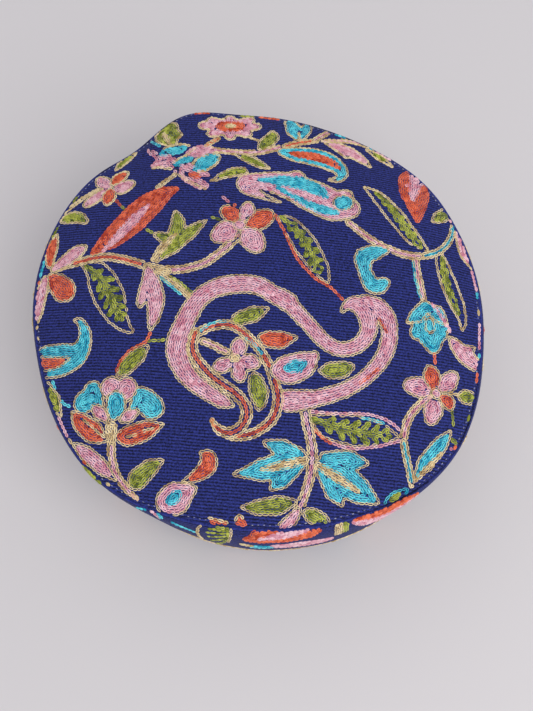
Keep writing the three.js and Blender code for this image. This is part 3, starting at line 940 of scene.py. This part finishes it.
# %% [markdown]
# The charted points are thrown onto the cloth. On the crown a motif then lives in plan: x and y in
# mm. The ends that the seam cuts off are drawn onto a line just inside the edge. A fern gets its
# lobes here, because they are spaced in real millimetres.
# %% From the photograph to the crown
LOBE_STEP, LOBE_LENGTH, LOBE_TURN = 4.3, 4.8, math.radians(50)
LOBE_ROOT, LOBE_TIP = 0.9, 1.25  # half widths
LOBE_ROOM = 1.8
LOBE_START, LOBE_STOP = LOBE_STEP / 3, 1  # from the two ends of the spine
LOOK_AHEAD, SHORTEST_LOBE = 0.5, 0.5
RIM_IN = 1.2


def crown_plan(stroke):
    """Charted points (pixel x, pixel y, half width) as places on the crown in mm."""
    places = [seen_on(crown_skin, (x, y), SEAM_LEVEL) / MM for x, y, _ in stroke]
    return [(place.x, place.y, width) for place, (_, _, width) in zip(places, stroke)]


def rim_plan(stroke):
    """Charted points near the outline, drawn onto a line just inside the crown's edge."""
    x, y, widths = np.array(crown_plan(stroke)).T
    azimuths = np.arctan2(y, x)
    radius = edge_at(azimuths)[0] / MM - RIM_IN
    return np.stack([radius * np.cos(azimuths), radius * np.sin(azimuths), widths], 1)


def charted(chart, plan):
    """The motifs of a chart, laid on a panel by its plan."""
    return [motif_of(*STYLES[style], [plan(stroke) for stroke in strokes]) for _, style, strokes in chart]


def lobes(spine, leaf):
    """Short strokes that leave a spine on both sides, shorter where the leaf is narrow."""
    line = smooth_stroke(spine)
    run = np.concatenate([[0], np.cumsum(np.hypot(*np.diff(line[:, :2], axis=0).T))])
    found = []
    for stop in np.arange(LOBE_START, run[-1] - LOBE_STOP, LOBE_STEP):
        place = np.array([np.interp(stop, run, line[:, axis]) for axis in (0, 1)])
        ahead = np.array([np.interp(stop + LOOK_AHEAD, run, line[:, axis]) for axis in (0, 1)]) - place
        heading = math.atan2(ahead[1], ahead[0])
        room = leaf.inside(place[None])[0] - LOBE_ROOM
        reach = min(LOBE_LENGTH, room / math.sin(LOBE_TURN))
        for turn in (-LOBE_TURN, LOBE_TURN):
            end = place + reach * np.array([math.cos(heading + turn), math.sin(heading + turn)])
            if reach > SHORTEST_LOBE:
                found.append([(*place, LOBE_ROOT), (*end, LOBE_TIP)])
    return found


def fern(outline, spine):
    """An outlined leaf and the lobed filling in it."""
    leaf = motif_of(*STYLES["outline"], [outline])
    return [leaf, motif_of(*STYLES["bare green"], [spine, *lobes(spine, leaf)])]


crown_motifs = charted(RIM_CHART, rim_plan)
for outline, spine in FERNS:
    crown_motifs += fern(crown_plan(outline), crown_plan(spine))
crown_motifs += charted(FERN_EDGES + CROWN_CHART, crown_plan)
print("crown motifs:", len(crown_motifs))

# %% [markdown]
# Sewing a list of motifs gives rows of stitches for each thread. Where the rows of a filling leave
# bare cloth along the middle of a stroke, one more line is sewn there. A stitch that a later motif
# covers is left out, so that threads never lie in one another.
# %% Sewing
COVER = 0.25
MIDDLE_GAP, CLOSED_UP = 0.45, 0.12  # shares of a row's step


def uncovered(places, motifs):
    """Which places lie under none of the motifs."""
    clear = np.ones(len(places), bool)
    for motif in motifs:
        clear &= motif.inside(places) < COVER
    return clear


def middle_runs(motif, first_row):
    """Stretches of a filled motif's stroke lines where the rows leave bare cloth."""
    found = []
    for line in motif.strokes:
        rows = (motif.inside(line[:, :2]) - ROW_START) / ROW_STEP
        past = rows % 1
        bare = (rows >= first_row) & ((past > MIDDLE_GAP) | (past < CLOSED_UP))
        for stretch in np.split(np.arange(len(line)), np.flatnonzero(np.diff(bare)) + 1):
            if bare[stretch[0]] and len(stretch) > 1:
                found.append(line[stretch, :2])
    return found


def sew(motifs):
    """Stitches by thread: start x, start y, end x, end y in mm, and the kind of link."""
    sewn = {name: [] for name in THREADS}
    for number, motif in enumerate(motifs):
        runs = []
        threads = [name for name in motif.rows if name is not ...]
        solid = motif.rows == (*threads[:1], ...)
        row = 0
        while threads and (row < len(threads) or motif.rows[-1] is ...):
            level = ROW_START + row * ROW_STEP
            if level > motif.depth.max():
                break
            name = threads[min(row, len(threads) - 1)]
            kind = FULL if row or solid or motif.core else OPEN
            runs += [(name, kind, line) for line in level_lines(motif, level)]
            row += 1
        if threads and motif.rows[-1] is ...:
            runs += [(threads[-1], FULL, line) for line in middle_runs(motif, len(threads) - 1)]
        if motif.core:
            # the thin dark navy lines of painted shade take the sewing link
            kind = SEWING if motif.core == "navy" else FULL
            runs += [(motif.core, kind, line[:, :2]) for line in motif.strokes]
        for name, kind, line in runs:
            stitches = stitches_along(line)
            stitches = np.hstack([stitches, np.full((len(stitches), 1), kind)])
            middles = (stitches[:, :2] + stitches[:, 2:4]) / 2
            sewn[name].append(stitches[uncovered(middles, motifs[number + 1:])])
    return {name: np.vstack(rows) for name, rows in sewn.items() if rows}


crown_sewn = sew(crown_motifs)
print("crown stitches:", {name: len(rows) for name, rows in crown_sewn.items()})

# %% [markdown]
# The crown's edge is top-stitched in white, one short stitch at a time, a little inside the seam.
# %% White top-stitch
TOP_STITCH_IN, TOP_STITCH_STEP, TOP_STITCH_LENGTH = 1.6, 2.3, 0.7
EDGE_RADIUS = 92.0


def inside_edge(azimuths):
    """Places in plan mm on the line of the top-stitch."""
    radius = edge_at((azimuths + math.pi) % math.tau - math.pi)[0] / MM - TOP_STITCH_IN
    return np.stack([radius * np.cos(azimuths), radius * np.sin(azimuths)], 1)


turns = np.arange(-math.pi, math.pi, TOP_STITCH_STEP / EDGE_RADIUS)
starts, ends = inside_edge(turns), inside_edge(turns + TOP_STITCH_LENGTH / EDGE_RADIUS)
top_stitch = np.hstack([starts, ends, np.full((len(turns), 1), SEWING)])
crown_sewn["white"] = top_stitch[uncovered(starts, crown_motifs)]
print("top-stitches:", len(crown_sewn["white"]))

# %% [markdown]
# Each stitch becomes one link on the cloth: its two ends are dropped on the skin, and the link is
# copied between them by arrays. Each link has its own small square of the colour map.
# %% Links on the cloth
LINK_SWAY = 0.1 * MM
WIDTH_SPREAD, HEIGHT_SPREAD = 0.1, 0.2
TONE_SPREAD = 0.4
EDGE_KEEP = 0.7
FACING_UP = 0.1
SQUARE_SIZE, SQUARE_START = (0.4, 0.3), (0.3, 0.5)  # a link in its square of the colour map


def drop_on_crown(places):
    """Places in plan mm as places and normals on the crown cloth, and which are on it."""
    found, normals = np.zeros((len(places), 3)), np.zeros((len(places), 3))
    for row, (x, y) in enumerate(places):
        hit, normal = crown_skin.ray_cast(Vector((x * MM, y * MM, CLEAR)), DOWN)[:2]
        if hit is not None:
            found[row], normals[row] = hit, normal
    azimuth = np.arctan2(places[:, 1], places[:, 0])
    room = edge_at(azimuth)[0] / MM - np.hypot(*places.T)
    return found, normals, (normals[:, 2] > FACING_UP) & (room > EDGE_KEEP)


def uneven(count, spread):
    """Factors about 1 for the links of one mesh."""
    return chance.uniform(1 - spread, 1 + spread, (count, 1, 1))


def links(name, thread_name, stitches, drop):
    """One mesh of chain links for all stitches of one thread on one panel."""
    start, normal, start_kept = drop(stitches[:, :2])
    end, _, end_kept = drop(stitches[:, 2:4])
    kept = start_kept & end_kept
    start, end, normal = start[kept], end[kept], normal[kept]
    kind = stitches[kept, 4].astype(int)
    count = len(start)
    along = end - start
    side = np.cross(normal, along)
    side /= np.linalg.norm(side, axis=1)[:, None]
    up = np.cross(along, side)
    up /= np.linalg.norm(up, axis=1)[:, None]
    widths = HALF_WIDTHS[kind][:, None, None] * uneven(count, WIDTH_SPREAD)
    heights = HEIGHTS[kind][:, None, None] * uneven(count, HEIGHT_SPREAD)
    x, y, z = np.split(LINK_FORMS[kind], 3, axis=2)
    start += side * chance.normal(0, LINK_SWAY, (count, 1))
    places = start[:, None] + along[:, None] * x + side[:, None] * y * widths + up[:, None] * z * heights
    faces = [[corner + LINK_SIZE * link for corner in face] for link in range(count) for face in LINK_FACES]
    mesh = bpy.data.meshes.new(name)
    mesh.from_pydata(places.reshape(-1, 3), [], faces)
    mesh.shade_smooth()
    tones = np.repeat(np.clip(chance.normal(TONES[kind], TONE_SPREAD), 0, 1), LINK_SIZE)
    mesh.attributes.new("tone", "FLOAT", "POINT").data.foreach_set("value", tones)
    squares = math.ceil(math.sqrt(count))
    corners = np.empty(len(mesh.loops), int)
    mesh.loops.foreach_get("vertex_index", corners)
    link = corners // LINK_SIZE
    spread = LINK_FORMS[OPEN][corners % LINK_SIZE][:, :2] * SQUARE_SIZE
    square = np.stack([link % squares, link // squares], 1) + SQUARE_START + spread
    mesh.uv_layers.new(name="OFBake").data.foreach_set("uv", (square / squares).ravel())
    mesh.materials.append(thread_materials[thread_name])
    piece = bpy.data.objects.new(name, mesh)
    bpy.context.scene.collection.objects.link(piece)
    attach(piece, "root")
    return piece


# the navy stitches are painted shade: thin dark lines in the tuck's creases and the paisley's slit
crown_thread = [links(f"crown_{name}_stitches", name, rows, drop_on_crown)
                for name, rows in crown_sewn.items()]
print("faces of crown stitches:", sum(len(piece.data.polygons) for piece in crown_thread))

# %% [markdown]
# The band's chart. What the photograph shows of it, a strip at the front, is charted in pixels like
# the crown. The hidden rest is a small repeat in the same manner, charted in mm along the band and up
# from the rim, and laid five times round.
# %% Chart of the band
STRIP_CHART = (  # photo x and y in pixels, half width in mm
    ("far bits, pink", "bare pink", [[(276, 546, 2.6), (300, 544, 4), (328, 539, 2.6)]]),
    ("far bits, turquoise", "bare turquoise", [[(254, 546.5, 2.4), (268, 547, 2.4)]]),
    ("far bits, beige", "bare beige", [[(242, 544, 1.4), (252, 546, 1.4)]]),
    ("front leaf", "bare coral", [
        [(247, 539.5, 2), (262, 538.5, 4.6), (285, 536.5, 5.2), (305, 533, 4.6), (322, 527.5, 1)],
        [(256, 534.5, 2.4), (272, 532, 3.6), (296, 529.5, 3.6), (319, 526.5, 1.4)]]),
    ("front leaf core", "bare pink", [
        [(258, 539.5, 1), (272, 537, 2.2), (290, 534, 2.6), (309, 529, 1.2)]]),
    ("post", "bare beige", [[(337, 525, 1), (337, 534, 1)], [(341, 524, 1), (340.5, 533, 1)]]),
    ("green post", "bare green", [[(345.5, 523, 1.2), (345, 531, 1.2)]]),
    ("front right leaf", "bare pink", [
        [(353, 521.5, 1), (371, 519.5, 4.6), (390, 512.5, 5.2), (406, 501.5, 4), (419, 493, .6)]]),
    ("front right leaf, upper half", "bare coral", [
        [(354, 519.5, 1), (367, 516.5, 2), (381, 513, 2.2), (397, 504.5, 2.8), (417, 493.5, 1.2)]]),
    ("front fern", "green line", [
        [(229, 529.5, .6), (216, 527, .6)], [(229.5, 531.5, .6), (208, 528.5, .6)],
        [(229.5, 533.5, .6), (206, 532, .6)], [(229.5, 535.5, .6), (207.5, 536, .6)],
        [(229, 537.5, .6), (211, 540, .6)], [(228, 539.5, .6), (217, 543, .6)]]),
    ("front fern edges", "beige line", [
        [(203, 538.5, .7), (199, 535, .7), (197.5, 530, .7), (202, 525.5, .7), (210, 524, .7)],
        [(231, 529, .7), (230.5, 536, .7), (228, 542, .7)]]),
    ("left bits, green", "bare green", [[(85, 464, 1.4), (94, 473, 2.6), (104, 481.5, 1)]]),
    ("front bit, pink", "bare pink", [[(151, 508.5, .8), (155, 513, 1), (160, 519, .6)]]),
    ("front bit, turquoise", "bare turquoise", [[(156, 511, .7), (160, 516, .9), (163, 521, .5)]]),
    ("left bits, turquoise", "turquoise line", [
        [(136, 507, .7), (150, 516.5, .7)], [(171, 521.5, .7), (183, 527, .7), (196, 532, .7)]]),
)
REPEAT_LENGTH = 118.1
BAND_CHART = (  # mm along the band, mm up from the rim, half width in mm
    ("vine", "pink stem", [
        [(0, 24, 1.7), (15, 29, 1.7), (29.5, 31, 1.7), (44, 29, 1.7), (59, 24, 1.7), (74, 18, 1.7),
         (88.5, 15, 1.7), (103, 18, 1.7), (REPEAT_LENGTH, 24, 1.7)]]),
    ("stalks", "green stem", [
        [(29.5, 30, 1.3), (29.5, 20, 1.3)], [(4, 25, 1.2), (9, 20, 1.2)],
        [(84, 16, 1.3), (83, 29, 1.3)]]),
    ("upper leaves", "green", [
        [(12, 29, .5), (9, 40, 3.4), (10, 50, 2.8), (14, 56, .4)],
        [(40, 31, .5), (46, 42, 3.4), (50, 50, 3), (52, 57, .4)]]),
    ("lower leaves", "green", [
        [(66, 20, .5), (60, 15, 3.2), (57, 9, 2.8), (58, 3.5, .4)],
        [(100, 19, .5), (104, 11, 3.2), (105, 6, 2.6), (103, 2.5, .4)]]),
    ("flower, pink", "pink", [
        [(29.5, 16, 2.2), (24, 20.5, 3.6), (22, 22, 2.6)],
        [(29.5, 16, 2.2), (35, 20.5, 3.6), (37, 22, 2.6)],
        [(29.5, 16, 2.2), (29.5, 9, 3.8), (29.5, 7.5, 2.8)]]),
    ("flower, coral", "coral", [
        [(29.5, 16, 2.2), (22, 13.5, 3.6), (20, 12, 2.6)],
        [(29.5, 16, 2.2), (37, 13.5, 3.6), (39, 12, 2.6)]]),
    ("flower eye", "bare beige", [[(29, 16, 2.2), (30, 16, 2.2)]]),
    ("paisley", "coral paisley", [
        [(72, 46, 3.6), (78, 38, 5.4), (86, 34, 5.6), (94, 37, 4.4), (99, 44, 3), (98, 51, 1.8),
         (92, 54, .5)]]),
    ("bud in the paisley", "pink", [[(83, 46, .8), (87, 45.5, 2.8), (92, 46, .6)]]),
    ("split leaf", "turquoise", [
        [(46, 28, 1.4), (45.5, 22, 3.4), (46, 16, 3.6), (47, 5, .4)],
        [(46, 24, 3), (52, 20, 2.4), (55, 20, .5)]]),
    ("split leaf vein", "bare beige", [[(46, 26, 1.2), (46, 19, 1.4), (46.5, 11, .5)]]),
    ("coral leaf", "bare coral", [[(108, 24, .6), (112, 33, 4.2), (113, 42, 4.6), (110, 55, .4)]]),
    ("coral leaf core", "bare pink", [[(110, 29, .8), (112.5, 38, 2.2), (112, 47, .6)]]),
    ("bud", "turquoise", [[(10, 22, 2.8), (7, 15, 4.6), (5, 7, 1.2)]]),
    ("plumes", "pink", [
        [(12, 4, .6), (17, 6.5, 2.4), (23, 5.5, 2.4), (27, 3.5, .5)],
        [(70, 4, .5), (77, 8, 2.8), (85, 7.5, 3), (93, 4, .5)]]),
    ("curl", "coral", [[(20, 50, .6), (26, 53, 3), (32, 52, 3), (36, 47, .6)]]),
)
BAND_FERN = ([(57, 32, .5), (61, 39, 4.4), (64, 47, 4.6), (63, 57, .4)],
             [(58.5, 34, 1), (62, 41, 1.2), (63.5, 53, 1)])
print("motifs charted on the band:", len(STRIP_CHART) + len(BAND_CHART) + 1)

# %% [markdown]
# On the band a motif lives unrolled: along the band and up, in mm. The repeats come first, and the
# ones that would run into the charted strip are left out.
# %% Band embroidery
BAND_RADIUS = 94.0
REPEATS = 5
REPEAT_START = -236.1
STRIP_ALONG, STRIP_FROM = (-205, -72), 34
BAND_KEEP = 1.0


def band_plan(stroke):
    """Charted points of the strip as places on the unrolled band in mm."""
    places = [seen_on(band_skin, (x, y), SEAM_LEVEL) / MM for x, y, _ in stroke]
    return [(math.atan2(place.y, place.x) * BAND_RADIUS, place.z, width)
            for place, (_, _, width) in zip(places, stroke)]


def repeat_plan(number):
    """Moves a stroke of the repeat to its place along the band."""
    start = REPEAT_START + number * REPEAT_LENGTH
    return lambda stroke: [(start + along, up, width) for along, up, width in stroke]


def in_strip(motif):
    """Whether a motif of the repeat reaches into the strip that the photograph shows."""
    along, up, _ = np.vstack(motif.strokes).T
    return np.any((along > STRIP_ALONG[0]) & (along < STRIP_ALONG[1]) & (up > STRIP_FROM))


def drop_on_band(places):
    """Places in mm along and up the band as places and normals on its cloth, and which are on it."""
    found, normals = np.zeros((len(places), 3)), np.zeros((len(places), 3))
    azimuths = places[:, 0] / BAND_RADIUS
    near = np.zeros(len(places), bool)
    for row, (azimuth, up) in enumerate(zip(azimuths, places[:, 1] * MM)):
        outside = Vector((math.cos(azimuth), math.sin(azimuth), 0))
        hit, normal = band_skin.ray_cast(outside * CLEAR + Vector((0, 0, up)), -outside)[:2]
        if hit is not None:
            found[row], normals[row] = hit, normal
            near[row] = hit.dot(outside) > 0
    top = edge_at((azimuths + math.pi) % math.tau - math.pi)[1] / MM
    return found, normals, near & (places[:, 1] > BAND_KEEP) & (places[:, 1] < top - BAND_KEEP)


band_motifs = []
for number in range(REPEATS):
    plan = repeat_plan(number)
    repeat = fern(*map(plan, BAND_FERN)) + charted(BAND_CHART, plan)
    band_motifs += [motif for motif in repeat if not in_strip(motif)]
band_motifs += charted(STRIP_CHART, band_plan)
band_sewn = sew(band_motifs)
band_thread = [links(f"band_{name}_stitches", name, rows, drop_on_band) for name, rows in band_sewn.items()]
print("band stitches:", {name: len(rows) for name, rows in band_sewn.items()})
print("faces of band stitches:", sum(len(piece.data.polygons) for piece in band_thread))

# %% [markdown]
# Floor, light and world. The cap stands on a plain pale table under soft daylight.
# %% Setting
TABLE_TONE, TABLE_REACH = (214, 210, 209), 3
SKY_TONE, SKY_STRENGTH = (232, 232, 240), 0.74
floor_shape = bmesh.new()
bmesh.ops.create_grid(floor_shape, x_segments=1, y_segments=1, size=TABLE_REACH)
floor = piece_from("floor", floor_shape)
floor_material = bpy.data.materials.new("pale_table")
floor_material.use_nodes = True
floor_shader = floor_material.node_tree.nodes["Principled BSDF"]
floor_shader.inputs["Base Color"].default_value = linear(*TABLE_TONE)
floor_shader.inputs["Roughness"].default_value = 0.7
floor.data.materials.append(floor_material)

LAMPS = (  # name, place in metres, size, power
    ("window", (0.6, -0.65, 0.95), 1.1, 8.6),
    ("room", (-0.4, 0.6, 1.3), 1.4, 2.2),
)
for name, place, size, power in LAMPS:
    lamp_data = bpy.data.lights.new(name, "AREA")
    lamp_data.size = size
    lamp_data.energy = power
    lamp = bpy.data.objects.new(name, lamp_data)
    lamp.location = place
    lamp.rotation_euler = (-Vector(place)).to_track_quat("-Z", "Y").to_euler()
    bpy.context.scene.collection.objects.link(lamp)
world = bpy.data.worlds.new("daylight")
world.use_nodes = True
sky = world.node_tree.nodes["Background"]
sky.inputs["Color"].default_value = linear(*SKY_TONE)
sky.inputs["Strength"].default_value = SKY_STRENGTH
bpy.context.scene.world = world
bpy.context.scene.view_settings.view_transform = "Standard"
print("lamps:", [name for name, *_ in LAMPS])

# %% [markdown]
# Last, each cloth is attached to the root and stands in for its CAD node, which is hidden.
# %% Hand over
for cloth, node in ((crown, "crown_panel"), (band, "side_band")):
    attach(cloth, "root")
    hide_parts(node)
